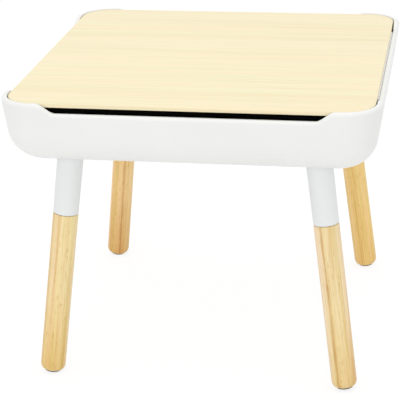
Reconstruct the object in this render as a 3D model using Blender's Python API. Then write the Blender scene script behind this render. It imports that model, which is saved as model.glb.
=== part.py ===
"""Child's activity table: a white tray on four splayed legs, closed by a square lid that lifts out.

Units are metres, +Z is up, the front faces -Y and the feet stand on Z = 0.
"""
from math import atan, cos, pi, radians, sin, sqrt

import bmesh
import bpy
from mathutils import Matrix, Vector

# Fits and clearances
TOUCH_GAP = 0.0003       # between pieces that lie against each other
BOLT_CLEARANCE = 0.0005  # around the bolts in the pieces they only pass through
LID_CLEARANCE = 0.0020   # between the lid's edge and the tray's inner rim
BATTEN_CLEARANCE = 0.0015  # between the lid's battens and the rails beside them

# Lid
LID_SIZE = 0.530
LID_CORNER_RADIUS = 0.045
LID_TOP_Z = 0.4465
LID_THICKNESS = 0.006
LID_EDGE_ROUND = 0.0010

# Tray, outside
RIM_WIDTH = 0.009
RIM_ABOVE_LID = 0.0010
RIM_OUTER_ROUND = 0.005
RIM_INNER_ROUND = 0.0015
TRAY_DEPTH = 0.0965      # from the lid's top to the tray's underside
OUTER_TAPER = 0.13       # inward lean of the outer wall for each unit of height
OUTER_FILLET_WIDTH = 0.052
OUTER_FILLET_HEIGHT = 0.050
CORNER_SHRINK = 0.80     # how much of the wall's inset the corner radius takes up

# Tray, inside
FLOOR_THICKNESS = 0.006
INNER_TAPER = 0.12
INNER_FILLET_WIDTH = 0.046
INNER_FILLET_HEIGHT = 0.043

# Dips in the rim: distance from where a corner begins, length of each slope, depth below the lid's top
DIP_END_SPACE = 0.007
DIP_SLOPE_LENGTH = 0.028
FRONT_DIP_DEPTH = 0.0134
SIDE_DIP_DEPTH = 0.0080

# Legs: how far in from the rim the axis meets the tray's underside, and its lean for each unit of height
LEG_INSET_X = 0.0920
LEG_INSET_Y = 0.0765
LEAN_X = 0.1220
LEAN_Y = 0.0815
LEG_RADIUS = 0.0190
LEG_FOOT_ROUND_WIDTH = 0.0064
LEG_FOOT_ROUND_HEIGHT = 0.0095
LEG_FOOT_LIFT = 0.0040   # along the axis, from the floor to the wood
SLEEVE_DROP = 0.0930     # from the tray's underside to the joint, measured upright
SLEEVE_TOP_RADIUS = 0.0197
SLEEVE_EDGE_CHAMFER = 0.0006
SLEEVE_END_WALL = 0.0065  # on the axis, between the tenon's end and the tray
TENON_RADIUS = 0.0150
TENON_CHAMFER = 0.0015
PAD_INSET = 0.0002
PAD_RIM = 0.0018         # thickness of the pad's upright edge
PAD_FLAT_RADIUS = 0.0085 # of the face that stands on the floor
PAD_FLAT_SHIFT = 0.0030  # of that face, towards the table's middle

# Leg fixings
BOLT_RADIUS = 0.0039
BOLT_HEAD_RADIUS = 0.0065
BOLT_HEAD_HEIGHT = 0.0042
BOLT_HEAD_ROUND = 0.0015
BOLT_SOCKET_RADIUS = 0.0025
BOLT_SOCKET_DEPTH = 0.0024
BOLT_BELOW_INSERT = 0.006
WEDGE_RADIUS = 0.0130
WEDGE_MIDDLE_HEIGHT = 0.0048
WEDGE_CHAMFER = 0.0006
BOLT_CHAMFER = 0.0006
INSERT_RADIUS = 0.0060
INSERT_LENGTH = 0.018
INSERT_FLANGE_RADIUS = 0.0078
INSERT_FLANGE_HEIGHT = 0.0012
PILOT_END_SPACE = 0.003

# Rails that carry the lid, and their screws
RAIL_END_SPACE = 0.005   # from a rail's end to the slope of the dip
RAIL_WIDTH = 0.0125
RAIL_HEIGHT = 0.016
RAIL_CHAMFER = 0.0010
RAIL_SCREW_END_SPACE = 0.040
RAIL_SCREW_DROP = 0.008
SCREW_RADIUS = 0.00175
SCREW_HEAD_RADIUS = 0.0036
SCREW_HEAD_DEPTH = 0.0022
SCREW_END_COVER = 0.0022  # wall left beyond a screw's hole
SCREW_TIP = 0.0018
SCREW_RECESS_RADIUS = 0.0011
SCREW_RECESS_DEPTH = 0.0012

# Battens glued under the lid, which keep it flat and in place
BATTEN_WIDTH = 0.020
BATTEN_HEIGHT = 0.012
BATTEN_CHAMFER = 0.0010
BATTEN_END_SPACE = 0.005

# Smoothness
CORNER_STEPS = 8
DIP_STEPS = 5
FILLET_STEPS = 5
ROUND_STEPS = 3
LEG_SEGMENTS = 24
BOLT_SEGMENTS = 18
SCREW_SEGMENTS = 12

# Heights and half sizes that follow from the values above
LID_HALF = LID_SIZE / 2
LID_UNDERSIDE_Z = LID_TOP_Z - LID_THICKNESS
RIM_TOP_Z = LID_TOP_Z + RIM_ABOVE_LID
RAIL_TOP_Z = LID_UNDERSIDE_Z - TOUCH_GAP
TRAY_BOTTOM_Z = LID_TOP_Z - TRAY_DEPTH
FLOOR_TOP_Z = TRAY_BOTTOM_Z + FLOOR_THICKNESS
SLEEVE_BOTTOM_Z = TRAY_BOTTOM_Z - SLEEVE_DROP
INNER_HALF = LID_HALF + LID_CLEARANCE
OUTER_HALF = INNER_HALF + RIM_WIDTH
INNER_CORNER = LID_CORNER_RADIUS + LID_CLEARANCE
STRAIGHT_HALF = INNER_HALF - INNER_CORNER
DIP_END_HALF = STRAIGHT_HALF - DIP_END_SPACE
DIP_FLAT_HALF = DIP_END_HALF - DIP_SLOPE_LENGTH
RAIL_HALF_LENGTH = DIP_FLAT_HALF - RAIL_END_SPACE
RAIL_SCREW_OFFSET = RAIL_HALF_LENGTH - RAIL_SCREW_END_SPACE
RAIL_SCREWS = {"front": -RAIL_SCREW_OFFSET, "middle": 0.0, "back": RAIL_SCREW_OFFSET}
FOOT_X = OUTER_HALF - LEG_INSET_X + LEAN_X * TRAY_BOTTOM_Z
FOOT_Y = OUTER_HALF - LEG_INSET_Y + LEAN_Y * TRAY_BOTTOM_Z
QUARTERS = ((1, 1), (-1, 1), (-1, -1), (1, -1))
SIDES = {"left": -1, "right": 1}
LEGS = {"front_left": (-1, -1), "front_right": (1, -1), "back_left": (-1, 1), "back_right": (1, 1)}

WHITE_PLASTIC = ((0.87, 0.87, 0.86, 1.0), 0.35, 0.0)
LIGHT_WOOD = ((0.91, 0.82, 0.60, 1.0), 0.50, 0.0)
LEG_WOOD = ((0.80, 0.60, 0.34, 1.0), 0.55, 0.0)
BLACK_PAINT = ((0.012, 0.012, 0.012, 1.0), 0.80, 0.0)
BLACK_RUBBER = ((0.025, 0.025, 0.025, 1.0), 0.85, 0.0)
ZINC_STEEL = ((0.62, 0.63, 0.65, 1.0), 0.35, 1.0)
BRASS = ((0.72, 0.55, 0.25, 1.0), 0.35, 1.0)


def clear_scene():
    for item in list(bpy.data.objects):
        bpy.data.objects.remove(item, do_unlink=True)


def make_object(name, body, look, origin=(0.0, 0.0, 0.0), smooth=True):
    """Turns a bmesh in world coordinates into a named object with its own material."""
    bmesh.ops.recalc_face_normals(body, faces=body.faces)
    bmesh.ops.translate(body, verts=body.verts, vec=-Vector(origin))
    mesh = bpy.data.meshes.new(name)
    body.to_mesh(mesh)
    body.free()
    for face in mesh.polygons:
        face.use_smooth = smooth
    material = bpy.data.materials.new(name)
    material.use_nodes = True
    shader = material.node_tree.nodes["Principled BSDF"]
    shader.inputs["Base Color"].default_value = look[0]
    shader.inputs["Roughness"].default_value = look[1]
    shader.inputs["Metallic"].default_value = look[2]
    material.diffuse_color = look[0]
    mesh.materials.append(material)
    made = bpy.data.objects.new(name, mesh)
    made.location = origin
    bpy.context.scene.collection.objects.link(made)
    return made


def shade_by_angle(made, degrees=30.0):
    """Keeps edges sharper than the given angle crisp and everything else smooth."""
    body = bmesh.new()
    body.from_mesh(made.data)
    limit = radians(degrees)
    for edge in body.edges:
        edge.smooth = len(edge.link_faces) == 2 and edge.calc_face_angle(0.0) < limit
    body.to_mesh(made.data)
    body.free()


def cut(target, cutter_body):
    """Removes a closed body from an object with an exact Boolean."""
    mesh = bpy.data.meshes.new("cutter")
    bmesh.ops.recalc_face_normals(cutter_body, faces=cutter_body.faces)
    cutter_body.to_mesh(mesh)
    cutter_body.free()
    cutter = bpy.data.objects.new("cutter", mesh)
    cutter.hide_render = True
    cutter.display_type = "WIRE"
    bpy.context.scene.collection.objects.link(cutter)
    change = target.modifiers.new("cut", "BOOLEAN")
    change.operation = "DIFFERENCE"
    change.solver = "EXACT"
    change.object = cutter
    bpy.context.view_layer.update()
    graph = bpy.context.evaluated_depsgraph_get()
    result = bpy.data.meshes.new_from_object(target.evaluated_get(graph))
    target.modifiers.remove(change)
    target.data = result
    bpy.data.objects.remove(cutter, do_unlink=True)


def skin(body, rings, closed=False):
    """Joins rings of points into one closed surface; a ring of one point is a pole."""
    made = [[body.verts.new(point) for point in ring] for ring in rings]
    pairs = list(zip(made, made[1:]))
    if closed:
        pairs.append((made[-1], made[0]))
    for low, high in pairs:
        count = max(len(low), len(high))
        for step in range(count):
            after = (step + 1) % count
            if len(low) == 1:
                body.faces.new((low[0], high[after], high[step]))
            elif len(high) == 1:
                body.faces.new((low[step], low[after], high[0]))
            else:
                body.faces.new((low[step], low[after], high[after], high[step]))


def rounded_square(half, radius, height, steps=CORNER_STEPS):
    """Points of a square with rounded corners, lying flat at one height."""
    points = []
    for quarter, (side_x, side_y) in enumerate(QUARTERS):
        for step in range(steps + 1):
            angle = (quarter + step / steps) * pi / 2
            points.append(Vector((side_x * (half - radius) + radius * cos(angle),
                                  side_y * (half - radius) + radius * sin(angle), height)))
    return points


def rounded_plate(half, radius, low, high, edge_round):
    """A flat rounded square with its upper and lower edges rounded over."""
    turns = [step / ROUND_STEPS * pi / 2 for step in range(ROUND_STEPS + 1)]
    levels = [(low + edge_round * (1 - sin(turn)), edge_round * (1 - cos(turn))) for turn in reversed(turns)]
    levels += [(high - edge_round * (1 - sin(turn)), edge_round * (1 - cos(turn))) for turn in turns]
    body = bmesh.new()
    rings = [rounded_square(half - inset, radius - inset, level) for level, inset in levels]
    skin(body, rings)
    close_flat_ends(body)
    return body


def close_flat_ends(body):
    """Fills the two open rims of a skinned body."""
    open_edges = [edge for edge in body.edges if len(edge.link_faces) == 1]
    bmesh.ops.holes_fill(body, edges=open_edges, sides=0)


def dip_at(position, depth):
    """How far the rim lies below the lid's top at a place along a side."""
    along = min(max((abs(position) - DIP_FLAT_HALF) / (DIP_END_HALF - DIP_FLAT_HALF), 0.0), 1.0)
    eased = along * along * (3 - 2 * along)
    return depth + eased * (-RIM_ABOVE_LID - depth)


def tray_stations():
    """Places around the tray as (straight part x, y, corner direction x, y, rim height)."""
    slope = [DIP_FLAT_HALF + (DIP_END_HALF - DIP_FLAT_HALF) * step / DIP_STEPS for step in range(DIP_STEPS + 1)]
    half_side = [0.0, DIP_FLAT_HALF / 2] + slope
    positions = [-place for place in reversed(half_side[1:])] + half_side
    stations = []
    for quarter, (side_x, side_y) in enumerate(QUARTERS):
        for step in range(CORNER_STEPS + 1):
            angle = (quarter + step / CORNER_STEPS) * pi / 2
            stations.append((side_x, side_y, cos(angle), sin(angle), RIM_TOP_Z))
        out = Vector((cos((quarter + 1) * pi / 2), sin((quarter + 1) * pi / 2)))
        along = Vector((-out.y, out.x))
        depth = SIDE_DIP_DEPTH if abs(out.x) > abs(out.y) else FRONT_DIP_DEPTH
        for place in positions:
            share = place / STRAIGHT_HALF
            stations.append((out.x + along.x * share, out.y + along.y * share, out.x, out.y,
                             LID_TOP_Z - dip_at(place, depth)))
    return stations


def wall_curve(bottom, taper, fillet_width, fillet_height):
    """Inset and height of a wall's lower bend, from the flat bottom up, and where the bend ends."""
    start = atan(taper * fillet_height / fillet_width)
    bend_top = bottom + fillet_height * (1 - sin(start))
    inset_there = taper * (LID_TOP_Z - bend_top)
    curve = []
    for step in range(FILLET_STEPS + 1):
        turn = pi / 2 + (start - pi / 2) * step / FILLET_STEPS
        curve.append((inset_there + fillet_width * (cos(start) - cos(turn)),
                      bend_top - fillet_height * (sin(turn) - sin(start))))
    return curve, bend_top


def tray_section(rim):
    """The tray's section at one place as (half size, corner radius, height), from outside to inside."""
    outer_corner = INNER_CORNER + RIM_WIDTH
    section = []
    outer_curve, outer_bend = wall_curve(TRAY_BOTTOM_Z, OUTER_TAPER, OUTER_FILLET_WIDTH, OUTER_FILLET_HEIGHT)
    round_start = rim - RIM_OUTER_ROUND
    middle = (outer_bend + round_start) / 2
    outer_curve = outer_curve + [(OUTER_TAPER * (LID_TOP_Z - middle), middle)]
    section += [(OUTER_HALF - inset, outer_corner - CORNER_SHRINK * inset, level) for inset, level in outer_curve]
    inset = OUTER_TAPER * (LID_TOP_Z - round_start)
    for step in range(ROUND_STEPS + 1):
        turn = step / ROUND_STEPS * pi / 2
        shift = RIM_OUTER_ROUND * (1 - cos(turn))
        section.append((OUTER_HALF - inset - shift, outer_corner - CORNER_SHRINK * inset - shift,
                        round_start + RIM_OUTER_ROUND * sin(turn)))
    inner_curve, inner_bend = wall_curve(FLOOR_TOP_Z, INNER_TAPER, INNER_FILLET_WIDTH, INNER_FILLET_HEIGHT)
    round_end = rim - RIM_INNER_ROUND
    inner_inset = INNER_TAPER * max(LID_UNDERSIDE_Z - round_end, 0.0)
    for step in range(ROUND_STEPS, -1, -1):
        turn = step / ROUND_STEPS * pi / 2
        shift = RIM_INNER_ROUND * (1 - cos(turn))
        section.append((INNER_HALF - inner_inset + shift, INNER_CORNER - CORNER_SHRINK * inner_inset + shift,
                        round_end + RIM_INNER_ROUND * sin(turn)))
    middle = (inner_bend + min(round_end, LID_UNDERSIDE_Z)) / 2
    inner_points = inner_curve + [(INNER_TAPER * (LID_TOP_Z - middle), middle)]
    lid_seat = INNER_TAPER * LID_THICKNESS
    for inset, level in reversed(inner_points):
        inset -= lid_seat
        section.append((INNER_HALF - inset, INNER_CORNER - CORNER_SHRINK * inset, level))
    return section


def inner_wall_half(level):
    """Half size of the tray's inside, between its bend and the lid."""
    return INNER_HALF - INNER_TAPER * (LID_UNDERSIDE_Z - level)


def build_tray():
    stations = tray_stations()
    columns = []
    for place_x, place_y, out_x, out_y, rim in stations:
        columns.append([Vector((place_x * (half - radius) + out_x * radius,
                                place_y * (half - radius) + out_y * radius, level))
                        for half, radius, level in tray_section(rim)])
    body = bmesh.new()
    skin(body, [list(ring) for ring in zip(*columns)])
    close_flat_ends(body)
    tray = make_object("tray_shell", body, WHITE_PLASTIC)
    cutters = bmesh.new()
    for side in LEGS.values():
        frame = leg_frame(side)
        hole = BOLT_RADIUS + BOLT_CLEARANCE
        ends = (TRAY_BOTTOM_Z - FLOOR_THICKNESS, FLOOR_TOP_Z + FLOOR_THICKNESS)
        skin(cutters, [level_ring(frame, 0.0, ends[0]), level_ring(frame, hole, ends[0]),
                       level_ring(frame, hole, ends[1]), level_ring(frame, 0.0, ends[1])])
    for side_x in SIDES.values():
        for place in RAIL_SCREWS.values():
            add_screw(cutters, side_x, place, TOUCH_GAP, recess=False)
    cut(tray, cutters)
    shade_by_angle(tray)


def leg_frame(side):
    """Frame on a leg's axis: origin on the floor, local Z up along the leg."""
    up = Vector((-side[0] * LEAN_X, -side[1] * LEAN_Y, 1.0)).normalized()
    across = Vector((0.0, 1.0, 0.0)).cross(up).normalized()
    turned = Matrix((across, up.cross(across), up)).transposed().to_4x4()
    return Matrix.Translation((side[0] * FOOT_X, side[1] * FOOT_Y, 0.0)) @ turned


def axis_ring(frame, radius, height, segments=BOLT_SEGMENTS, hexagon=False):
    """A ring square to the axis, at a height measured along it."""
    if radius == 0.0:
        return [frame @ Vector((0.0, 0.0, height))]
    points = []
    for step in range(segments):
        angle = 2 * pi * step / segments
        reach = radius / cos((angle + pi / 6) % (pi / 3) - pi / 6) if hexagon else radius
        points.append(frame @ Vector((reach * cos(angle), reach * sin(angle), height)))
    return points


def level_ring(frame, radius, level, segments=BOLT_SEGMENTS):
    """A ring around the axis whose points all lie at one world height."""
    points = []
    for point in axis_ring(frame, radius, 0.0, segments):
        along = frame.to_3x3() @ Vector((0.0, 0.0, 1.0))
        points.append(point + along * ((level - point.z) / along.z))
    return points


def axis_height(level):
    """Distance up a leg's axis to a world height."""
    return level * sqrt(1.0 + LEAN_X ** 2 + LEAN_Y ** 2)


def rounded_end(radius, round_width, round_height, height, outward, steps=ROUND_STEPS):
    """Radius and height pairs of a quarter round between an end face and a side."""
    pairs = []
    for step in range(steps + 1):
        turn = step / steps * pi / 2
        pairs.append((radius - round_width * (1 - sin(turn)), height + outward * round_height * (1 - cos(turn))))
    return pairs


def tenon_top():
    """Distance up a leg's axis to the end of its tenon."""
    return axis_height(TRAY_BOTTOM_Z) - SLEEVE_END_WALL


def build_leg(name, side):
    """One wooden leg with its rounded foot, its tenon and the hole for the threaded insert."""
    frame = leg_frame(side)
    shoulder = axis_height(SLEEVE_BOTTOM_Z)
    top = tenon_top()
    flange_floor = top - INSERT_FLANGE_HEIGHT - TOUCH_GAP
    insert_floor = top - INSERT_LENGTH - TOUCH_GAP
    pilot_floor = insert_floor - BOLT_BELOW_INSERT - PILOT_END_SPACE
    profile = [(0.0, LEG_FOOT_LIFT)]
    profile += rounded_end(LEG_RADIUS, LEG_FOOT_ROUND_WIDTH, LEG_FOOT_ROUND_HEIGHT, LEG_FOOT_LIFT, 1, FILLET_STEPS)
    profile += [(LEG_RADIUS, shoulder - SLEEVE_EDGE_CHAMFER), (LEG_RADIUS - SLEEVE_EDGE_CHAMFER, shoulder)]
    profile += [(TENON_RADIUS, shoulder), (TENON_RADIUS, top - TENON_CHAMFER), (TENON_RADIUS - TENON_CHAMFER, top)]
    profile += [(INSERT_FLANGE_RADIUS + TOUCH_GAP, top), (INSERT_FLANGE_RADIUS + TOUCH_GAP, flange_floor)]
    profile += [(INSERT_RADIUS + TOUCH_GAP, flange_floor), (INSERT_RADIUS + TOUCH_GAP, insert_floor)]
    profile += [(BOLT_RADIUS + BOLT_CLEARANCE, insert_floor), (BOLT_RADIUS + BOLT_CLEARANCE, pilot_floor)]
    profile += [(0.0, pilot_floor)]
    body = bmesh.new()
    skin(body, [axis_ring(frame, radius, height, LEG_SEGMENTS) for radius, height in profile])
    shade_by_angle(make_object("wooden_leg_" + name, body, LEG_WOOD))


def build_sleeve(name, side):
    """White sleeve around the tenon, between the tray and the wood, its end wall drilled for the bolt."""
    frame = leg_frame(side)
    low = axis_height(SLEEVE_BOTTOM_Z) + TOUCH_GAP
    bore_top = tenon_top() + TOUCH_GAP
    top_level = TRAY_BOTTOM_Z - TOUCH_GAP
    bore = TENON_RADIUS + TOUCH_GAP
    hole = BOLT_RADIUS + BOLT_CLEARANCE
    rings = [axis_ring(frame, LEG_RADIUS - SLEEVE_EDGE_CHAMFER, low, LEG_SEGMENTS),
             axis_ring(frame, LEG_RADIUS, low + SLEEVE_EDGE_CHAMFER, LEG_SEGMENTS)]
    rings += [level_ring(frame, SLEEVE_TOP_RADIUS, top_level, LEG_SEGMENTS)]
    rings += [level_ring(frame, hole, top_level, LEG_SEGMENTS)]
    rings += [axis_ring(frame, hole, bore_top, LEG_SEGMENTS), axis_ring(frame, bore, bore_top, LEG_SEGMENTS)]
    rings += [axis_ring(frame, bore, low, LEG_SEGMENTS)]
    body = bmesh.new()
    skin(body, rings, closed=True)
    shade_by_angle(make_object("leg_sleeve_" + name, body, WHITE_PLASTIC))


def build_pad(name, side):
    """Dark domed pad under a foot: square to the leg above, with a flat on the floor nearer the table's middle."""
    frame = leg_frame(side)
    radius = LEG_RADIUS - LEG_FOOT_ROUND_WIDTH - PAD_INSET
    top = LEG_FOOT_LIFT - TOUCH_GAP
    inward = Vector((-side[0] * LEAN_X, -side[1] * LEAN_Y, 0.0)).normalized() * PAD_FLAT_SHIFT
    flat = [[point + inward for point in level_ring(frame, size, 0.0, LEG_SEGMENTS)] for size in (0.0, PAD_FLAT_RADIUS)]
    body = bmesh.new()
    skin(body, flat + [axis_ring(frame, radius, top - PAD_RIM, LEG_SEGMENTS),
                       axis_ring(frame, radius, top, LEG_SEGMENTS), axis_ring(frame, 0.0, top, LEG_SEGMENTS)])
    shade_by_angle(make_object("foot_pad_" + name, body, BLACK_RUBBER))


def build_leg_fixings(name, side):
    """The bolt, wedge washer and threaded insert that hold one leg under the tray's floor."""
    frame = leg_frame(side)
    insert_top = tenon_top()
    insert_low = insert_top - INSERT_LENGTH
    wedge_base = FLOOR_TOP_Z + TOUCH_GAP
    wedge_top = axis_height(wedge_base + WEDGE_MIDDLE_HEIGHT)
    head_low = wedge_top + TOUCH_GAP
    head_top = head_low + BOLT_HEAD_HEIGHT
    hole = BOLT_RADIUS + BOLT_CLEARANCE

    low = insert_low - BOLT_BELOW_INSERT
    rings = [axis_ring(frame, 0.0, low), axis_ring(frame, BOLT_RADIUS - BOLT_CHAMFER, low),
             axis_ring(frame, BOLT_RADIUS, low + BOLT_CHAMFER), axis_ring(frame, BOLT_RADIUS, head_low)]
    rings += [axis_ring(frame, BOLT_HEAD_RADIUS, head_low)]
    rings += [axis_ring(frame, radius, height) for radius, height in
              reversed(rounded_end(BOLT_HEAD_RADIUS, BOLT_HEAD_ROUND, BOLT_HEAD_ROUND, head_top, -1))]
    rings += [axis_ring(frame, BOLT_SOCKET_RADIUS, head_top, hexagon=True),
              axis_ring(frame, BOLT_SOCKET_RADIUS, head_top - BOLT_SOCKET_DEPTH, hexagon=True),
              axis_ring(frame, 0.0, head_top - BOLT_SOCKET_DEPTH)]
    bolt = bmesh.new()
    skin(bolt, rings)
    shade_by_angle(make_object("leg_bolt_" + name, bolt, ZINC_STEEL))

    wedge = bmesh.new()
    skin(wedge, [level_ring(frame, WEDGE_RADIUS, wedge_base),
                 axis_ring(frame, WEDGE_RADIUS, wedge_top - WEDGE_CHAMFER),
                 axis_ring(frame, WEDGE_RADIUS - WEDGE_CHAMFER, wedge_top),
                 axis_ring(frame, hole, wedge_top), level_ring(frame, hole, wedge_base)], closed=True)
    shade_by_angle(make_object("wedge_washer_" + name, wedge, WHITE_PLASTIC))

    bore = BOLT_RADIUS + TOUCH_GAP
    flange_low = insert_top - INSERT_FLANGE_HEIGHT
    insert = bmesh.new()
    skin(insert, [axis_ring(frame, bore, insert_low), axis_ring(frame, INSERT_RADIUS, insert_low),
                  axis_ring(frame, INSERT_RADIUS, flange_low), axis_ring(frame, INSERT_FLANGE_RADIUS, flange_low),
                  axis_ring(frame, INSERT_FLANGE_RADIUS, insert_top), axis_ring(frame, bore, insert_top)],
         closed=True)
    shade_by_angle(make_object("threaded_insert_" + name, insert, BRASS))


def rail_section():
    """Corners of the right rail's section in x and z, its outer face following the tray's wall."""
    low = RAIL_TOP_Z - RAIL_HEIGHT
    outer_top = inner_wall_half(RAIL_TOP_Z) - TOUCH_GAP
    outer_low = inner_wall_half(low) - TOUCH_GAP
    inner = outer_top - RAIL_WIDTH
    trim = RAIL_CHAMFER
    return [(inner, low + trim), (inner + trim, low), (outer_low - trim, low),
            (outer_low + INNER_TAPER * trim, low + trim), (outer_top - INNER_TAPER * trim, RAIL_TOP_Z - trim),
            (outer_top - trim, RAIL_TOP_Z), (inner + trim, RAIL_TOP_Z), (inner, RAIL_TOP_Z - trim)]


def add_screw(body, side_x, place, growth, recess):
    """Adds one countersunk screw lying along X, or with growth the hole it needs."""
    head_face = rail_section()[0][0]
    turned = Matrix.Rotation(side_x * pi / 2, 4, "Y")
    frame = Matrix.Translation((side_x * head_face, place, RAIL_TOP_Z - RAIL_SCREW_DROP)) @ turned
    outer_wall = OUTER_HALF - OUTER_TAPER * (LID_TOP_Z - RAIL_TOP_Z + RAIL_SCREW_DROP)
    end = outer_wall - head_face - SCREW_END_COVER - TOUCH_GAP + growth
    head = SCREW_HEAD_RADIUS + growth
    shank = SCREW_RADIUS + growth
    start = 0.0 if recess else -SCREW_HEAD_DEPTH
    profile = [(SCREW_RECESS_RADIUS, SCREW_RECESS_DEPTH), (SCREW_RECESS_RADIUS, start)] if recess else []
    profile += [(head, start), (head, growth), (shank, SCREW_HEAD_DEPTH + growth), (shank, end - SCREW_TIP)]
    rings = [axis_ring(frame, 0.0, SCREW_RECESS_DEPTH if recess else start, SCREW_SEGMENTS)]
    rings += [axis_ring(frame, radius, height, SCREW_SEGMENTS) for radius, height in profile]
    rings += [axis_ring(frame, 0.0, end, SCREW_SEGMENTS)]
    skin(body, rings)


def build_rails():
    """Two rails on the side walls that the lid rests on, and their countersunk screws."""
    for name, side_x in SIDES.items():
        ends = ((-RAIL_HALF_LENGTH, RAIL_CHAMFER), (-RAIL_HALF_LENGTH + RAIL_CHAMFER, 0.0),
                (RAIL_HALF_LENGTH - RAIL_CHAMFER, 0.0), (RAIL_HALF_LENGTH, RAIL_CHAMFER))
        section = rail_section()
        middle_x = sum(x for x, z in section) / len(section)
        middle_z = sum(z for x, z in section) / len(section)
        rings = []
        for place, trim in ends:
            shrink_x = 1 - 2 * trim / RAIL_WIDTH
            shrink_z = 1 - 2 * trim / RAIL_HEIGHT
            rings.append([Vector((side_x * (middle_x + (x - middle_x) * shrink_x), place,
                                  middle_z + (z - middle_z) * shrink_z)) for x, z in section])
        body = bmesh.new()
        skin(body, rings)
        close_flat_ends(body)
        rail = make_object("support_rail_" + name, body, WHITE_PLASTIC)
        cutters = bmesh.new()
        for place in RAIL_SCREWS.values():
            add_screw(cutters, side_x, place, TOUCH_GAP, recess=False)
        cut(rail, cutters)
        shade_by_angle(rail)
        for place_name, place in RAIL_SCREWS.items():
            screw = bmesh.new()
            add_screw(screw, side_x, place, 0.0, recess=True)
            shade_by_angle(make_object("rail_screw_" + name + "_" + place_name, screw, ZINC_STEEL))


def batten_outer_half():
    """Distance from the lid's centre to the outer faces of its battens."""
    return rail_section()[0][0] - BATTEN_CLEARANCE


def chamfered_bar(low, high, chamfer):
    """A bar along the row axes with all its edges chamfered."""
    body = bmesh.new()
    bmesh.ops.create_cube(body, size=1.0)
    size = Vector(high) - Vector(low)
    bmesh.ops.scale(body, verts=body.verts, vec=size)
    bmesh.ops.translate(body, verts=body.verts, vec=(Vector(high) + Vector(low)) / 2)
    bmesh.ops.bevel(body, geom=body.edges[:], offset=chamfer, segments=1, affect="EDGES")
    return body


def build_lid():
    """The lifting lid: a wooden panel on four black battens."""
    origin = (0.0, 0.0, LID_UNDERSIDE_Z)
    panel = rounded_plate(LID_HALF, LID_CORNER_RADIUS, LID_UNDERSIDE_Z, LID_TOP_Z, LID_EDGE_ROUND)
    shade_by_angle(make_object("lid_panel", panel, LIGHT_WOOD, origin))
    outer = batten_outer_half()
    inner = outer - BATTEN_WIDTH
    top = LID_UNDERSIDE_Z - TOUCH_GAP
    low = top - BATTEN_HEIGHT
    half_long = outer - BATTEN_END_SPACE
    half_short = inner - TOUCH_GAP
    battens = {"front": ((-half_long, -outer, low), (half_long, -inner, top)),
               "back": ((-half_long, inner, low), (half_long, outer, top)),
               "left": ((-outer, -half_short, low), (-inner, half_short, top)),
               "right": ((inner, -half_short, low), (outer, half_short, top))}
    for name, (corner_low, corner_high) in battens.items():
        bar = chamfered_bar(corner_low, corner_high, BATTEN_CHAMFER)
        make_object("lid_batten_" + name, bar, BLACK_PAINT, origin, smooth=False)


clear_scene()
build_tray()
build_rails()
build_lid()
for leg_name, leg_side in LEGS.items():
    build_sleeve(leg_name, leg_side)
    build_leg(leg_name, leg_side)
    build_pad(leg_name, leg_side)
    build_leg_fixings(leg_name, leg_side)
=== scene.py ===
"""Looks of the activity table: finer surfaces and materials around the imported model.

Units are metres, +Z is up, the front faces -Y and the feet stand on Z = 0.
"""

from math import atan, cos, pi, radians, sin, sqrt

import bmesh
import bpy
from mathutils import Matrix, Vector


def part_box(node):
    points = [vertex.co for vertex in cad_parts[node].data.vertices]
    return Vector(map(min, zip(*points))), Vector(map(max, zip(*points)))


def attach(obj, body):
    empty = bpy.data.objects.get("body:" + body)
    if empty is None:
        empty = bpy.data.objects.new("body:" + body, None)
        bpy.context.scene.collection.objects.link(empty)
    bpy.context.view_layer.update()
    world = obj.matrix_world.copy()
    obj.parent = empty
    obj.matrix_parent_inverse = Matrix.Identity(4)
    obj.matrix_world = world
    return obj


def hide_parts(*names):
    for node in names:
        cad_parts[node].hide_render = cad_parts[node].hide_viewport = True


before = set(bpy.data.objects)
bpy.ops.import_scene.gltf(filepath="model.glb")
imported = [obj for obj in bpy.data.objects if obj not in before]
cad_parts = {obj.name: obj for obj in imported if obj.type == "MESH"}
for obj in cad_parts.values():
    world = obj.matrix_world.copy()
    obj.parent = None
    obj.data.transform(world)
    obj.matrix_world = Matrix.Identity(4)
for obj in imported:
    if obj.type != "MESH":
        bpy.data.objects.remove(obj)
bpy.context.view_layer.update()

# Fits and clearances, as in the part's source
TOUCH_GAP = 0.0003       # between pieces that lie against each other
BOLT_CLEARANCE = 0.0005  # around the bolts in the pieces they pass through
LID_CLEARANCE = 0.0020   # between the lid's edge and the tray's inner rim

# Lid
LID_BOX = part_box("lid_panel")
LID_HALF, LID_TOP, LID_LOW = LID_BOX[1][0], LID_BOX[1][2], LID_BOX[0][2]
LID_CORNER_RADIUS = 0.045
LID_EDGE_ROUND = 0.0010

# Tray; for each wall, half its width and its corner's radius where it is widest
TRAY_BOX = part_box("tray_shell")
RIM_TOP, TRAY_LOW = TRAY_BOX[1][2], TRAY_BOX[0][2]
RIM_WIDTH = 0.009
RIM_OUTER_ROUND = 0.005
RIM_INNER_ROUND = 0.0015
INNER_WALL = (LID_HALF + LID_CLEARANCE, LID_CORNER_RADIUS + LID_CLEARANCE)
OUTER_WALL = (INNER_WALL[0] + RIM_WIDTH, INNER_WALL[1] + RIM_WIDTH)
OUTER_TAPER, INNER_TAPER = 0.13, 0.12   # inward lean for each unit of height
OUTER_FILLET = (0.052, 0.050)           # width and height of the bend under the outer wall
INNER_FILLET = (0.046, 0.043)           # the same of the bend inside
CORNER_SHRINK = 0.80                    # how much of a wall's inset the corner radius takes up
FLOOR_THICKNESS = 0.006

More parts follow.
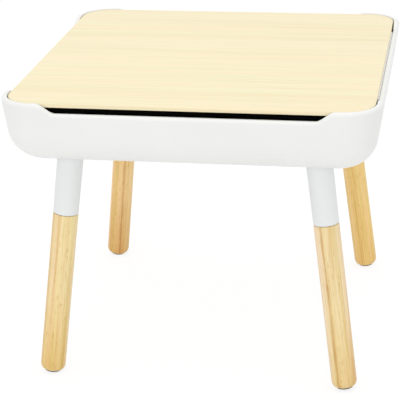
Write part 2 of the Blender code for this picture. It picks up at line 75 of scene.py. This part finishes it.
# Dips in the rim: their depth below the lid's top, and half the length of the level part of each
FRONT_DIP_DEPTH, SIDE_DIP_DEPTH = 0.0134, 0.0080
DIP_SLOPE_LENGTH = 0.028
DIP_END_SPACE = 0.007                   # from where a corner begins to the end of the slope
DIP_FLAT = INNER_WALL[0] - INNER_WALL[1] - DIP_END_SPACE - DIP_SLOPE_LENGTH

# Legs
LEAN_X, LEAN_Y = 0.1220, 0.0815         # for each unit of height
LEG_INSET_X, LEG_INSET_Y = 0.0920, 0.0765  # from the rim to the axis at the tray's underside
FOOT_X = OUTER_WALL[0] - LEG_INSET_X + LEAN_X * TRAY_LOW
FOOT_Y = OUTER_WALL[0] - LEG_INSET_Y + LEAN_Y * TRAY_LOW
SLEEVE_DROP = 0.0930                    # from the tray's underside to the joint, measured upright
JOINT_Z = TRAY_LOW - SLEEVE_DROP
LEG_RADIUS = 0.0190
LEG_EDGE_ROUND = 0.0009
FOOT_ROUND = (0.0064, 0.0095)           # width and height of the round under the foot
FOOT_LIFT = 0.0040                      # along the axis, from the floor to the wood
SHOULDER_DROP = 0.0004                  # from the joint down to the wood's shoulder
TENON_RADIUS = 0.0150
TENON_CHAMFER = 0.0015

# Sleeves and pads
SLEEVE_TOP_RADIUS = 0.0197
SLEEVE_END_WALL = 0.0065                # on the axis, between the tenon's end and the tray
SLEEVE_EDGE_ROUND = 0.0011
BOLT_RADIUS = 0.0039
BOLT_HOLE_RADIUS = BOLT_RADIUS + BOLT_CLEARANCE
PAD_INSET = 0.0002                      # from the edge of the foot's flat end
PAD_CHAMFER = 0.0002
PAD_RIM = 0.0018                        # thickness of the pad's upright edge
PAD_FLAT_RADIUS = 0.0085                # of the face that stands on the floor
PAD_FLAT_SHIFT = 0.0030                 # of that face, towards the table's middle

# Smoothness: steps in each bend, slope or round, and the angle above which an edge stays sharp
TRAY_CORNER_STEPS = 24
DIP_STEPS = 16
FILLET_STEPS = 14
WALL_STEPS = 4
RIM_OUTER_STEPS = 8
RIM_INNER_STEPS = 5
LID_CORNER_STEPS = 20
LID_EDGE_STEPS = 6
LEG_SEGMENTS = 72
LEG_STEPS = 8
FOOT_STEPS = 12
LEG_EDGE_STEPS = 5
SLEEVE_EDGE_STEPS = 6
SHARP_ANGLE = radians(35.0)

# Sides in X and Y of a square's corners, in turn, and of the legs
QUARTERS = ((1, 1), (-1, 1), (-1, -1), (1, -1))
LEG_SIDES = {"front_left": (-1, -1), "front_right": (1, -1), "back_left": (-1, 1), "back_right": (1, 1)}

# Leg woods: main tone, tint at the foot, and the dark streak's place across the leg. The back legs' main
# tones hold painted light: brighter and more golden, to make up for the light that the tray keeps from them
LEG_WOODS_AND_PAINTED_LIGHT = {
    "front_left": ((0.842, 0.655, 0.338), (0.94, 0.86, 0.59), (-0.0134, 0.0134)),
    "front_right": ((0.870, 0.695, 0.412), (0.94, 0.86, 0.69), (-0.0070, -0.0176)),
    # Painted light: the back legs' main tones are lifted against the tray's shade
    "back_left": ((0.880, 0.615, 0.265), (0.83, 0.71, 0.48), (0.0064, -0.0178)),
    "back_right": ((0.890, 0.625, 0.235), (0.98, 0.96, 0.90), (0.0134, 0.0134)),
}
STREAK_WIDTH = 0.0030
STREAK_SOFTNESS = 0.5
GRAIN_SHIFT = (1.7, 2.3, 0.9)           # from one leg's wood to the next
NEUTRAL = (1.0, 1.0, 1.0)               # leaves the colour that it is multiplied with as it is

# Floor and background: the camera sees a floor that glows, with a diffuse share that takes the shadow
FLOOR_HALF = 30.0
FLOOR_GLOW, FLOOR_SHADE = 0.83, 0.20
SKY_STRENGTH = 0.87

# Lights: place, aim, size and energy in watts
LIGHTS = {
    "key": ((-0.2, -3.4, 1.3), (0.0, 0.0, 0.3), 2.2, 14.5),
    "top": ((0.0, 0.0, 3.2), (0.0, 0.0, 0.4), 2.4, 19.0),
}

# Camera, fitted to points read off the photograph; lens and sensor are in millimetres
CAMERA_PLACE = (0.3801, -2.2036, 1.0926)
CAMERA_PAN, CAMERA_TILT, CAMERA_ROLL = radians(-10.514), radians(-21.677), radians(-1.640)
CAMERA_LENS, CAMERA_SENSOR = 133.89, 36.0
CAMERA_REACH = 100.0


# Meshes

def skin(body, rings, closed=False):
    """Join rings of points with faces; a ring of one point closes an end."""
    made = [[body.verts.new(point) for point in ring] for ring in rings]
    pairs = list(zip(made, made[1:])) + ([(made[-1], made[0])] if closed else [])
    for low, high in pairs:
        count = max(len(low), len(high))
        for step in range(count):
            after = (step + 1) % count
            if len(low) == 1:
                body.faces.new((low[0], high[after], high[step]))
            elif len(high) == 1:
                body.faces.new((low[step], low[after], high[0]))
            else:
                body.faces.new((low[step], low[after], high[after], high[step]))


def add_piece(name, body, material, place=None, fill=False):
    """Turn a body into an object with smooth faces and sharp edges, with its open ends filled if asked."""
    if fill:
        open_edges = [edge for edge in body.edges if len(edge.link_faces) == 1]
        bmesh.ops.holes_fill(body, edges=open_edges, sides=0)
    bmesh.ops.recalc_face_normals(body, faces=body.faces)
    for face in body.faces:
        face.smooth = True
    for edge in body.edges:
        edge.smooth = len(edge.link_faces) == 2 and edge.calc_face_angle(0.0) < SHARP_ANGLE
    mesh = bpy.data.meshes.new(name)
    body.to_mesh(mesh)
    body.free()
    mesh.materials.append(material)
    piece = bpy.data.objects.new(name, mesh)
    if place is not None:
        piece.matrix_world = place
    bpy.context.scene.collection.objects.link(piece)
    return piece


def stand_in(piece, node, body):
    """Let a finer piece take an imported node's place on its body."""
    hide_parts(node)
    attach(piece, body)


def quarter_turns(steps):
    return [step / steps * pi / 2 for step in range(steps + 1)]


def rounded_square(half, radius, height):
    points = []
    for quarter, (side_x, side_y) in enumerate(QUARTERS):
        for turn in quarter_turns(LID_CORNER_STEPS):
            angle = quarter * pi / 2 + turn
            points.append(Vector((side_x * (half - radius) + radius * cos(angle),
                                  side_y * (half - radius) + radius * sin(angle), height)))
    return points


# Tray

def dip_places():
    """Places along a side, from its middle, where the rim gets a point: dense on the slopes of the dip."""
    slope = [DIP_FLAT + DIP_SLOPE_LENGTH * step / DIP_STEPS for step in range(DIP_STEPS + 1)]
    half_side = [0.0, DIP_FLAT / 2] + slope
    return [-place for place in reversed(half_side[1:])] + half_side


def tray_stations():
    """Places round a square of half width 1, each with the direction outward and the rim's height there."""
    stations = []
    for quarter, (side_x, side_y) in enumerate(QUARTERS):
        for step in range(TRAY_CORNER_STEPS + 1):
            turn = (quarter + step / TRAY_CORNER_STEPS) * pi / 2
            stations.append((side_x, side_y, cos(turn), sin(turn), RIM_TOP))
        out = Vector((cos((quarter + 1) * pi / 2), sin((quarter + 1) * pi / 2)))
        along = Vector((-out.y, out.x))
        depth = SIDE_DIP_DEPTH if abs(out.x) > abs(out.y) else FRONT_DIP_DEPTH
        for place in dip_places():
            share = min(max((abs(place) - DIP_FLAT) / DIP_SLOPE_LENGTH, 0.0), 1.0)
            eased = share * share * (3 - 2 * share)
            shift = along * (place / (INNER_WALL[0] - INNER_WALL[1]))
            drop = depth + eased * (LID_TOP - RIM_TOP - depth)
            stations.append((out.x + shift.x, out.y + shift.y, out.x, out.y, LID_TOP - drop))
    return stations


def wall_curve(bottom, taper, fillet):
    """Insets and heights of the bend from the bottom into a wall, and the height where the wall begins."""
    width, height = fillet
    start = atan(taper * height / width)
    bend_top = bottom + height * (1 - sin(start))
    wall_inset = taper * (LID_TOP - bend_top)
    curve = []
    for step in range(FILLET_STEPS + 1):
        turn = pi / 2 + (start - pi / 2) * step / FILLET_STEPS
        inset = wall_inset + width * (cos(start) - cos(turn))
        curve.append((inset, bend_top - height * (sin(turn) - sin(start))))
    return curve, bend_top


def wall_point(wall, inset, height, shift=0.0):
    """Half width, corner radius and height of one ring of the tray."""
    half, radius = wall
    return half - inset + shift, radius - CORNER_SHRINK * inset + shift, height


def tray_section(rim):
    """The tray's section where its rim has one height: up the outer wall, over the rim and down inside."""
    curve, bend_top = wall_curve(TRAY_LOW, OUTER_TAPER, OUTER_FILLET)
    start = rim - RIM_OUTER_ROUND
    heights = [bend_top + (start - bend_top) * step / WALL_STEPS for step in range(1, WALL_STEPS)]
    curve += [(OUTER_TAPER * (LID_TOP - height), height) for height in heights]
    section = [wall_point(OUTER_WALL, inset, height) for inset, height in curve]
    inset = OUTER_TAPER * (LID_TOP - start)
    for turn in quarter_turns(RIM_OUTER_STEPS):
        height = start + RIM_OUTER_ROUND * sin(turn)
        section.append(wall_point(OUTER_WALL, inset, height, -RIM_OUTER_ROUND * (1 - cos(turn))))

    end = rim - RIM_INNER_ROUND
    inset = INNER_TAPER * max(LID_LOW - end, 0.0)
    for turn in reversed(quarter_turns(RIM_INNER_STEPS)):
        height = end + RIM_INNER_ROUND * sin(turn)
        section.append(wall_point(INNER_WALL, inset, height, RIM_INNER_ROUND * (1 - cos(turn))))
    curve, bend_top = wall_curve(TRAY_LOW + FLOOR_THICKNESS, INNER_TAPER, INNER_FILLET)
    middle = (bend_top + min(end, LID_LOW)) / 2
    curve.append((INNER_TAPER * (LID_TOP - middle), middle))
    upright = INNER_TAPER * (LID_TOP - LID_LOW)
    section += [wall_point(INNER_WALL, inset - upright, height) for inset, height in reversed(curve)]
    return section


def build_tray(material):
    columns = []
    for place_x, place_y, out_x, out_y, rim in tray_stations():
        columns.append([Vector((place_x * (half - radius) + out_x * radius,
                                place_y * (half - radius) + out_y * radius, height))
                        for half, radius, height in tray_section(rim)])
    body = bmesh.new()
    skin(body, zip(*columns))
    piece = add_piece("white_tray", body, material, fill=True)
    stand_in(piece, "tray_shell", "table")


# Lid

def build_lid(material):
    edge = [(LID_EDGE_ROUND * (1 - cos(turn)), LID_EDGE_ROUND * (1 - sin(turn)))
            for turn in quarter_turns(LID_EDGE_STEPS)]
    levels = [(inset, LID_LOW + rise) for inset, rise in reversed(edge)]
    levels += [(inset, LID_TOP - rise) for inset, rise in edge]
    body = bmesh.new()
    skin(body, [rounded_square(LID_HALF - inset, LID_CORNER_RADIUS - inset, height)
                for inset, height in levels])
    piece = add_piece("wooden_lid", body, material, fill=True)
    stand_in(piece, "lid_panel", "lid")


# Legs, each with its sleeve and pad, built upright and placed by the leg's frame

def leg_frame(side):
    """The frame of a leg: its origin where the axis meets the floor, and Z up the axis."""
    up = Vector((-side[0] * LEAN_X, -side[1] * LEAN_Y, 1.0)).normalized()
    across = Vector((0.0, 1.0, 0.0)).cross(up).normalized()
    turned = Matrix((across, up.cross(across), up)).transposed().to_4x4()
    return Matrix.Translation((side[0] * FOOT_X, side[1] * FOOT_Y, 0.0)) @ turned


def axis_height(level):
    """Where a leg's axis passes a world height, measured along the axis."""
    return level * sqrt(1.0 + LEAN_X ** 2 + LEAN_Y ** 2)


def ring(radius, height):
    if radius == 0.0:
        return [Vector((0.0, 0.0, height))]
    turns = [2 * pi * segment / LEG_SEGMENTS for segment in range(LEG_SEGMENTS)]
    return [Vector((radius * cos(turn), radius * sin(turn), height)) for turn in turns]


def level_ring(place, radius, level):
    """A ring round the leg's axis, in the leg's own frame, whose points lie at one world height."""
    return [Vector((point.x, point.y, (level - (place @ point).z) / place[2][2]))
            for point in ring(radius, 0.0)]


def quarter_round(radius, width, height, start, upward, steps):
    """Radii and heights of a rounded edge, from its narrow end at start; upward is 1, or -1 for downward."""
    return [(radius - width * (1 - sin(turn)), start + upward * height * (1 - cos(turn)))
            for turn in quarter_turns(steps)]


def build_wooden_leg(name, place, material):
    shoulder = axis_height(JOINT_Z) - SHOULDER_DROP
    top = axis_height(TRAY_LOW) - SLEEVE_END_WALL
    foot_top = FOOT_LIFT + FOOT_ROUND[1]
    profile = [(0.0, FOOT_LIFT)] + quarter_round(LEG_RADIUS, *FOOT_ROUND, FOOT_LIFT, 1, FOOT_STEPS)
    # Rings along the straight part keep its shading even
    for step in range(1, LEG_STEPS):
        profile.append((LEG_RADIUS, foot_top + (shoulder - FOOT_LIFT) * step / LEG_STEPS))
    edge = quarter_round(LEG_RADIUS, LEG_EDGE_ROUND, LEG_EDGE_ROUND, shoulder, -1, LEG_EDGE_STEPS)
    profile += reversed(edge)
    profile += [(TENON_RADIUS, shoulder), (TENON_RADIUS, top - TENON_CHAMFER)]
    profile += [(TENON_RADIUS - TENON_CHAMFER, top), (0.0, top)]
    body = bmesh.new()
    skin(body, [ring(radius, height) for radius, height in profile])
    piece = add_piece("turned_leg_" + name, body, material, place)
    stand_in(piece, "wooden_leg_" + name, "table")


def build_sleeve(name, place, material):
    """A thin tube round the tenon, with an end wall under the tray that the bolt passes through."""
    low = axis_height(JOINT_Z) + TOUCH_GAP
    end = axis_height(TRAY_LOW) - SLEEVE_END_WALL + TOUCH_GAP
    edge = quarter_round(LEG_RADIUS, SLEEVE_EDGE_ROUND, SLEEVE_EDGE_ROUND, low, 1, SLEEVE_EDGE_STEPS)
    rings = [ring(radius, height) for radius, height in edge]
    rings.append(level_ring(place, SLEEVE_TOP_RADIUS, TRAY_LOW - TOUCH_GAP))
    rings.append(level_ring(place, BOLT_HOLE_RADIUS, TRAY_LOW - TOUCH_GAP))
    rings.append(ring(BOLT_HOLE_RADIUS, end))
    rings.append(ring(TENON_RADIUS + TOUCH_GAP, end))
    rings.append(ring(TENON_RADIUS + TOUCH_GAP, low))
    body = bmesh.new()
    skin(body, rings, closed=True)
    piece = add_piece("white_sleeve_" + name, body, material, place)
    stand_in(piece, "leg_sleeve_" + name, "table")


def build_pad(name, side, place, material):
    """A shallow dome under the foot: square to the leg above, and flat on the floor below."""
    radius = LEG_RADIUS - FOOT_ROUND[0] - PAD_INSET
    top = FOOT_LIFT - TOUCH_GAP
    low = top - PAD_RIM
    inward = Vector((-side[0] * LEAN_X, -side[1] * LEAN_Y, 0.0)).normalized() * PAD_FLAT_SHIFT
    inward = place.to_3x3().inverted() @ inward
    flat = [level_ring(place, size, 0.0) for size in (0.0, PAD_FLAT_RADIUS)]
    rings = [[point + inward for point in points] for points in flat]
    rings += [ring(radius - PAD_CHAMFER, low), ring(radius, low + PAD_CHAMFER)]
    rings += [ring(radius, top - PAD_CHAMFER), ring(radius - PAD_CHAMFER, top), ring(0.0, top)]
    body = bmesh.new()
    skin(body, rings)
    piece = add_piece("dark_pad_" + name, body, material, place)
    stand_in(piece, "foot_pad_" + name, "table")


# Materials

class Nodes:
    """A material's node tree, with short calls for what is used here."""

    def __init__(self, name, roughness, specular, metallic=0.0):
        self.material = bpy.data.materials.new(name)
        self.material.use_nodes = True
        self.tree = self.material.node_tree
        self.shader = self.tree.nodes["Principled BSDF"]
        self.shader.inputs["Roughness"].default_value = roughness
        self.shader.inputs["Specular IOR Level"].default_value = specular
        self.shader.inputs["Metallic"].default_value = metallic

    def add(self, kind, **settings):
        """A new node; each setting is one of its properties or, failing that, of its inputs."""
        node = self.tree.nodes.new(kind)
        for key, value in settings.items():
            if hasattr(node, key):
                setattr(node, key, value)
            else:
                node.inputs[key].default_value = value
        return node

    def link(self, source, target):
        self.tree.links.new(source, target)

    def coordinates(self, scale, offset=(0.0, 0.0, 0.0)):
        where = self.add("ShaderNodeTexCoord")
        mapping = self.add("ShaderNodeMapping", Scale=scale, Location=offset)
        self.link(where.outputs["Object"], mapping.inputs["Vector"])
        return mapping.outputs["Vector"]

    def noise(self, scale, offset=(0.0, 0.0, 0.0), detail=2.0, roughness=0.5, distortion=0.0):
        """Noise in the object's own coordinates, with a scale for each of X, Y and Z."""
        node = self.add("ShaderNodeTexNoise", Scale=1.0, Detail=detail, Roughness=roughness,
                        Distortion=distortion)
        self.link(self.coordinates(scale, offset), node.inputs["Vector"])
        return node.outputs["Fac"]

    def ramp(self, factor, *stops):
        node = self.add("ShaderNodeValToRGB")
        elements = node.color_ramp.elements
        while len(elements) < len(stops):
            elements.new(0.5)
        for element, (place, colour) in zip(elements, stops):
            element.position = place
            element.color = (*colour, 1.0)
        self.link(factor, node.inputs["Fac"])
        return node.outputs["Color"]

    def layer(self, first, *others):
        """Colours multiplied one over another."""
        for other in others:
            node = self.add("ShaderNodeMix", data_type="RGBA", blend_type="MULTIPLY")
            # The node has the same socket names for each type of data, so its sockets go by number
            node.inputs[0].default_value = 1.0
            self.link(first, node.inputs[6])
            self.link(other, node.inputs[7])
            first = node.outputs[2]
        return first

    def bump(self, height, strength, distance):
        node = self.add("ShaderNodeBump", Strength=strength, Distance=distance)
        self.link(height, node.inputs["Height"])
        self.link(node.outputs["Normal"], self.shader.inputs["Normal"])

    def colour(self, output):
        self.link(output, self.shader.inputs["Base Color"])


def shaded(colour, red, green, blue):
    """A colour with each channel multiplied by its own share."""
    return (colour[0] * red, colour[1] * green, colour[2] * blue)


def plastic(name, tint, roughness):
    """Moulded white plastic: fine pebbling and a faint cloudiness."""
    made = Nodes(name, roughness, specular=0.45)
    clouds = made.noise((9.0, 9.0, 9.0), detail=3.0)
    made.colour(made.ramp(clouds, (0.30, shaded(tint, 0.975, 0.975, 0.975)), (0.70, tint)))
    made.bump(made.noise((1400.0, 1400.0, 1400.0)), strength=0.10, distance=0.0002)
    return made.material


def lid_wood():
    """Pale lid veneer: long straight grain along X, in cream with pinkish and greenish streaks."""
    made = Nodes("pale_lid_wood", roughness=0.42, specular=0.4)
    bands = made.noise((1.3, 34.0, 34.0), detail=3.0, roughness=0.55, distortion=0.3)
    cream = made.ramp(bands, (0.28, (0.842, 0.738, 0.480)), (0.45, (0.862, 0.768, 0.515)),
                      (0.58, (0.876, 0.780, 0.538)), (0.75, (0.860, 0.772, 0.508)))
    streaks = made.noise((2.2, 75.0, 75.0), (7.7, 2.0, 0.0))
    tint = made.ramp(streaks, (0.32, (1.02, 0.985, 0.955)), (0.50, NEUTRAL), (0.68, (0.98, 1.0, 0.965)))
    fine = made.noise((5.0, 420.0, 420.0), (3.1, 0.0, 0.0), detail=4.0, roughness=0.6)
    lines = made.ramp(fine, (0.30, (0.93, 0.91, 0.86)), (0.50, NEUTRAL), (0.70, (1.02, 1.02, 1.03)))
    made.colour(made.layer(cream, tint, lines))
    made.bump(fine, strength=0.12, distance=0.0003)
    return made.material


def growth_streak(made, shift, place):
    """Dark line of growth rings up the leg, wandering a little round its place."""
    scale = 1.0 / STREAK_WIDTH
    across = made.add("ShaderNodeVectorMath", operation="LENGTH")
    offset = (-place[0] * scale, -place[1] * scale, 0.0)
    made.link(made.coordinates((scale, scale, 0.0), offset), across.inputs[0])
    wander = made.add("ShaderNodeMath", operation="MULTIPLY_ADD")
    made.link(across.outputs["Value"], wander.inputs[0])
    wander.inputs[1].default_value = STREAK_SOFTNESS
    made.link(made.noise((260.0, 260.0, 26.0), shift, detail=3.0, roughness=0.6), wander.inputs[2])
    return made.ramp(wander.outputs[0], (0.45, (0.76, 0.60, 0.42)), (0.95, NEUTRAL))


def foot_fall(made, foot_tint):
    """Tint that is full at the floor and fades out a little over halfway up the wood."""
    height = made.add("ShaderNodeSeparateXYZ")
    made.link(made.coordinates((1.0, 1.0, 1.0 / JOINT_Z)), height.inputs[0])
    return made.ramp(height.outputs["Z"], (0.0, foot_tint), (0.55, NEUTRAL))


def leg_wood(name, shift, tone, foot_tint, streak_place):
    """Golden leg wood: pinkish and yellow bands up the leg, with dark flecks, and deeper at the foot."""
    made = Nodes(name, roughness=0.36, specular=0.5)
    slow = made.noise((70.0, 70.0, 2.2), shift, detail=3.0, roughness=0.6, distortion=0.8)
    grain = made.ramp(slow, (0.33, shaded(tone, 0.88, 0.78, 0.60)), (0.50, tone),
                      (0.66, shaded(tone, 1.07, 1.12, 1.26)))
    bands = made.noise((110.0, 110.0, 1.5), (shift[2], shift[0], shift[1]))
    tint = made.ramp(bands, (0.38, (1.02, 0.975, 1.03)), (0.62, (0.985, 1.01, 0.90)))
    fine = made.noise((520.0, 520.0, 9.0), shift, detail=4.0, roughness=0.65)
    lines = made.ramp(fine, (0.30, (0.87, 0.79, 0.62)), (0.47, NEUTRAL), (0.72, (1.03, 1.04, 1.07)))
    spots = made.noise((620.0, 620.0, 70.0), shift, detail=3.0, roughness=0.6)
    flecks = made.ramp(spots, (0.60, NEUTRAL), (0.70, (0.80, 0.66, 0.45)))
    streak = growth_streak(made, shift, streak_place)
    made.colour(made.layer(grain, tint, lines, flecks, streak, foot_fall(made, foot_tint)))
    made.bump(fine, strength=0.15, distance=0.0003)
    return made.material


def batten_black_and_slot_shade():
    # Painted shade: the battens are made darker than any paint, so that the slot under the lid's edge shows
    # deep black
    made = Nodes("black_batten_painted_shade", roughness=0.75, specular=0.06)
    fine = made.noise((12.0, 300.0, 300.0), detail=3.0)
    made.colour(made.ramp(fine, (0.35, (0.0016, 0.0014, 0.0010)), (0.65, (0.0034, 0.0030, 0.0024))))
    made.bump(fine, strength=0.2, distance=0.0002)
    return made.material


def dark_rubber():
    made = Nodes("dark_foot_rubber", roughness=0.8, specular=0.3)
    fine = made.noise((900.0, 900.0, 900.0), detail=3.0)
    made.colour(made.ramp(fine, (0.35, (0.060, 0.042, 0.024)), (0.65, (0.120, 0.090, 0.056))))
    made.bump(fine, strength=0.3, distance=0.0003)
    return made.material


def metal(name, tint, roughness):
    """Plated or turned metal with fine tool marks."""
    made = Nodes(name, roughness, specular=0.5, metallic=1.0)
    marks = made.noise((150.0, 150.0, 2200.0), detail=3.0)
    made.colour(made.ramp(marks, (0.30, shaded(tint, 0.82, 0.82, 0.82)), (0.65, tint)))
    made.bump(marks, strength=0.15, distance=0.0001)
    return made.material


def dress(beginnings, material):
    """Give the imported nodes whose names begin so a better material; they keep their shape."""
    for name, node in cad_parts.items():
        if name.startswith(beginnings):
            node.data.materials.clear()
            node.data.materials.append(material)


# Floor, background, light and camera

def seen_directly(tree):
    """1 for rays from the camera, and for those it sees by reflection or through glass."""
    path = tree.nodes.new("ShaderNodeLightPath")
    total = path.outputs["Is Camera Ray"]
    for name in ("Is Glossy Ray", "Is Transmission Ray"):
        either = tree.nodes.new("ShaderNodeMath")
        either.operation = "MAXIMUM"
        tree.links.new(total, either.inputs[0])
        tree.links.new(path.outputs[name], either.inputs[1])
        total = either.outputs[0]
    return total


def choose_shader(tree, usual, seen, output):
    mix = tree.nodes.new("ShaderNodeMixShader")
    tree.links.new(seen_directly(tree), mix.inputs["Fac"])
    tree.links.new(usual, mix.inputs[1])
    tree.links.new(seen, mix.inputs[2])
    tree.links.new(mix.outputs[0], output.inputs["Surface"])


def build_floor():
    """Pale floor that shows white where it is lit, and keeps the object's soft shadow."""
    body = bmesh.new()
    bmesh.ops.create_grid(body, x_segments=1, y_segments=1, size=FLOOR_HALF)
    made = Nodes("pale_floor", roughness=0.9, specular=0.0)
    grain = made.noise((3.0, 3.0, 3.0))
    made.colour(made.ramp(grain, (0.3, (0.925, 0.925, 0.925)), (0.7, (0.93, 0.93, 0.93))))
    glow = made.add("ShaderNodeEmission", Strength=FLOOR_GLOW)
    shade = made.add("ShaderNodeBsdfDiffuse", Color=(FLOOR_SHADE, FLOOR_SHADE, FLOOR_SHADE, 1.0))
    both = made.add("ShaderNodeAddShader")
    made.link(glow.outputs[0], both.inputs[0])
    made.link(shade.outputs[0], both.inputs[1])
    choose_shader(made.tree, made.shader.outputs[0], both.outputs[0], made.tree.nodes["Material Output"])
    add_piece("pale_floor", body, made.material)


def build_world():
    """Soft white light from all round, before a white background."""
    world = bpy.data.worlds.new("studio")
    world.use_nodes = True
    tree = world.node_tree
    soft = tree.nodes["Background"]
    soft.inputs["Strength"].default_value = SKY_STRENGTH
    white = tree.nodes.new("ShaderNodeBackground")
    for background in (soft, white):
        background.inputs["Color"].default_value = (1.0, 1.0, 1.0, 1.0)
    choose_shader(tree, soft.outputs[0], white.outputs[0], tree.nodes["World Output"])
    bpy.context.scene.world = world


def add_light(name, place, aim, size, energy):
    data = bpy.data.lights.new(name, "AREA")
    data.shape = "DISK"
    data.size = size
    data.energy = energy
    lamp = bpy.data.objects.new(name, data)
    lamp.location = place
    lamp.rotation_euler = (Vector(aim) - Vector(place)).to_track_quat("-Z", "Y").to_euler()
    bpy.context.scene.collection.objects.link(lamp)


def build_camera():
    """Long lens in front of the table, a little to its right and well above it."""
    forward = Vector((sin(CAMERA_PAN), cos(CAMERA_PAN), 0.0))
    level = Vector((cos(CAMERA_PAN), -sin(CAMERA_PAN), 0.0))
    ahead = forward * cos(CAMERA_TILT) + Vector((0.0, 0.0, sin(CAMERA_TILT)))
    upright = level.cross(ahead)
    right = cos(CAMERA_ROLL) * level + sin(CAMERA_ROLL) * upright
    up = cos(CAMERA_ROLL) * upright - sin(CAMERA_ROLL) * level
    data = bpy.data.cameras.new("camera")
    data.sensor_width = CAMERA_SENSOR
    data.lens = CAMERA_LENS
    data.clip_end = CAMERA_REACH
    camera = bpy.data.objects.new("camera", data)
    placed = Matrix((right, up, -ahead)).transposed().to_4x4()
    placed.translation = CAMERA_PLACE
    camera.matrix_world = placed
    bpy.context.scene.collection.objects.link(camera)
    bpy.context.scene.camera = camera


# The table

sleeve_plastic = plastic("white_sleeve_plastic", (0.797, 0.816, 0.812), roughness=0.42)
rubber = dark_rubber()
build_tray(plastic("white_tray_plastic", (0.838, 0.842, 0.826), roughness=0.38))
build_lid(lid_wood())
for number, (leg_name, leg_side) in enumerate(LEG_SIDES.items()):
    grain_shift = tuple(number * shift for shift in GRAIN_SHIFT)
    wood = leg_wood("golden_leg_wood_" + leg_name, grain_shift, *LEG_WOODS_AND_PAINTED_LIGHT[leg_name])
    leg_place = leg_frame(leg_side)
    build_wooden_leg(leg_name, leg_place, wood)
    build_sleeve(leg_name, leg_place, sleeve_plastic)
    build_pad(leg_name, leg_side, leg_place, rubber)
dress(("support_rail", "wedge_washer"), plastic("white_inner_plastic", (0.84, 0.84, 0.83), roughness=0.5))
# The battens' black is painted shade for the slot under the lid's edge
dress("lid_batten", batten_black_and_slot_shade())
dress(("leg_bolt", "rail_screw"), metal("zinc_plated_steel", (0.62, 0.63, 0.65), roughness=0.34))
dress("threaded_insert", metal("turned_brass", (0.72, 0.55, 0.25), roughness=0.32))

# Its surroundings

build_floor()
build_world()
for light_name, light in LIGHTS.items():
    add_light(light_name, *light)
build_camera()
bpy.context.scene.view_settings.view_transform = "Standard"
